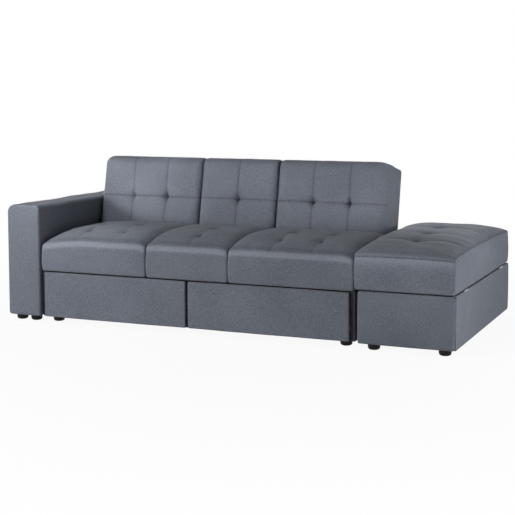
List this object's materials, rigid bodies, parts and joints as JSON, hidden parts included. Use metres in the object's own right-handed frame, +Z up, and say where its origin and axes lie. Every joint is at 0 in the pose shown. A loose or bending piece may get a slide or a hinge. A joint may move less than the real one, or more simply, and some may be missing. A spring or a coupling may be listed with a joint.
{
  "type": "sofa bed",
  "caption": "Sofa bed with one padded arm, tufted seat and back, a back that clicks down flat, storage drawers under the seat and a storage ottoman with a hinged padded lid.",
  "frame": {"origin": "middle of the footprint, on the floor", "axes": "+X along the sofa from the arm to the ottoman, +Y from the front to the rear, +Z up"},
  "size_m": [2.2225, 1.1, 0.7707],
  "materials": {
    "upholstery": "woven grey-blue polyester",
    "black_plastic": "moulded, matt",
    "nylon": "moulded white nylon",
    "runner_steel": "white powder coat",
    "zinc_steel": "bright zinc plate",
    "hardboard": "brown hardboard",
    "wood": "planed softwood and plywood"
  },
  "bodies": {
    "base": {"arm_cover": "upholstery", "arm_boards": "wood", "arm_frame": "wood", "sofa_feet": "black_plastic", "base_side_left": "upholstery", "base_side_right": "upholstery", "base_floor": "wood", "base_cross_board": "wood", "base_divider": "wood", "base_front_rail": "wood", "base_rear_panel": "upholstery", "seat_deck": "wood", "rear_deck": "upholstery", "rear_deck_rail": "wood", "arm_bolts": "zinc_steel", "drawer_left_fixed_runners": "runner_steel", "drawer_right_fixed_runners": "runner_steel", "seat_frame_left": "wood", "seat_frame_middle": "wood", "seat_frame_right": "wood", "seat_slats": "wood", "seat_cushion_left": "upholstery", "seat_cushion_middle": "upholstery", "seat_cushion_right": "upholstery", "hinge_fixed_plate_left": "zinc_steel", "hinge_fixed_plate_right": "zinc_steel", "hinge_screws": "zinc_steel"},
    "back": {"back_cushion_left": "upholstery", "back_cushion_middle": "upholstery", "back_cushion_right": "upholstery", "back_shell": "upholstery", "back_frame": "wood", "hinge_moving_plate_left": "zinc_steel", "hinge_moving_plate_right": "zinc_steel", "hinge_pins": "zinc_steel", "hinge_pawls": "zinc_steel", "hinge_bolts": "zinc_steel"},
    "drawer_left": {"drawer_left_front": "upholstery", "drawer_left_boards": "wood", "drawer_left_bottom": "hardboard", "drawer_left_moving_runners": "runner_steel"},
    "drawer_left_front_rollers": {"drawer_left_front_rollers": "nylon"},
    "drawer_left_rear_rollers": {"drawer_left_rear_rollers": "nylon"},
    "drawer_right": {"drawer_right_front": "upholstery", "drawer_right_boards": "wood", "drawer_right_bottom": "hardboard", "drawer_right_moving_runners": "runner_steel"},
    "drawer_right_front_rollers": {"drawer_right_front_rollers": "nylon"},
    "drawer_right_rear_rollers": {"drawer_right_rear_rollers": "nylon"},
    "ottoman": {"ottoman_ends": "upholstery", "ottoman_side_left": "upholstery", "ottoman_side_right": "upholstery", "ottoman_floor": "hardboard", "ottoman_feet": "black_plastic", "ottoman_bumpers": "black_plastic", "lid_hinges_lower": "zinc_steel"},
    "lid": {"lid_cushion": "upholstery", "lid_board": "wood", "lid_hinges_upper": "zinc_steel"}
  },
  "joints": [
    {"name": "back_recline", "type": "hinge", "parent": "base", "child": "back", "pos_m": [0, 0.0832, 0.3345], "axis": [-1, 0, 0], "range_deg": [0, 78.5]},
    {"name": "drawer_left_slide", "type": "slide", "parent": "base", "child": "drawer_left", "axis": [0, -1, 0], "range_m": [0, 0.4]},
    {"name": "drawer_left_front_roller_spin", "type": "hinge", "parent": "base", "child": "drawer_left_front_rollers", "pos_m": [0, -0.49, 0.0805], "axis": [1, 0, 0], "range_deg": [0, 2547]},
    {"name": "drawer_left_rear_roller_spin", "type": "hinge", "parent": "drawer_left", "child": "drawer_left_rear_rollers", "pos_m": [0, -0.03797, 0.0805], "axis": [1, 0, 0], "range_deg": [0, 2547]},
    {"name": "drawer_right_slide", "type": "slide", "parent": "base", "child": "drawer_right", "axis": [0, -1, 0], "range_m": [0, 0.4]},
    {"name": "drawer_right_front_roller_spin", "type": "hinge", "parent": "base", "child": "drawer_right_front_rollers", "pos_m": [0, -0.49, 0.0805], "axis": [1, 0, 0], "range_deg": [0, 2547]},
    {"name": "drawer_right_rear_roller_spin", "type": "hinge", "parent": "drawer_right", "child": "drawer_right_rear_rollers", "pos_m": [0, -0.03797, 0.0805], "axis": [1, 0, 0], "range_deg": [0, 2547]},
    {"name": "ottoman_pull_away", "type": "slide", "parent": "base", "child": "ottoman", "axis": [1, 0, 0], "range_m": [0, 0.5]},
    {"name": "lid_hinge", "type": "hinge", "parent": "ottoman", "child": "lid", "pos_m": [1.10675, 0, 0.26], "axis": [0, 1, 0], "range_deg": [0, 100]}
  ],
  "couplings": [
    {"joint": "drawer_left_front_roller_spin", "follows": "drawer_left_slide", "rad_per_m": 111.11},
    {"joint": "drawer_left_rear_roller_spin", "follows": "drawer_left_slide", "rad_per_m": 111.11},
    {"joint": "drawer_right_front_roller_spin", "follows": "drawer_right_slide", "rad_per_m": 111.11},
    {"joint": "drawer_right_rear_roller_spin", "follows": "drawer_right_slide", "rad_per_m": 111.11}
  ]
}
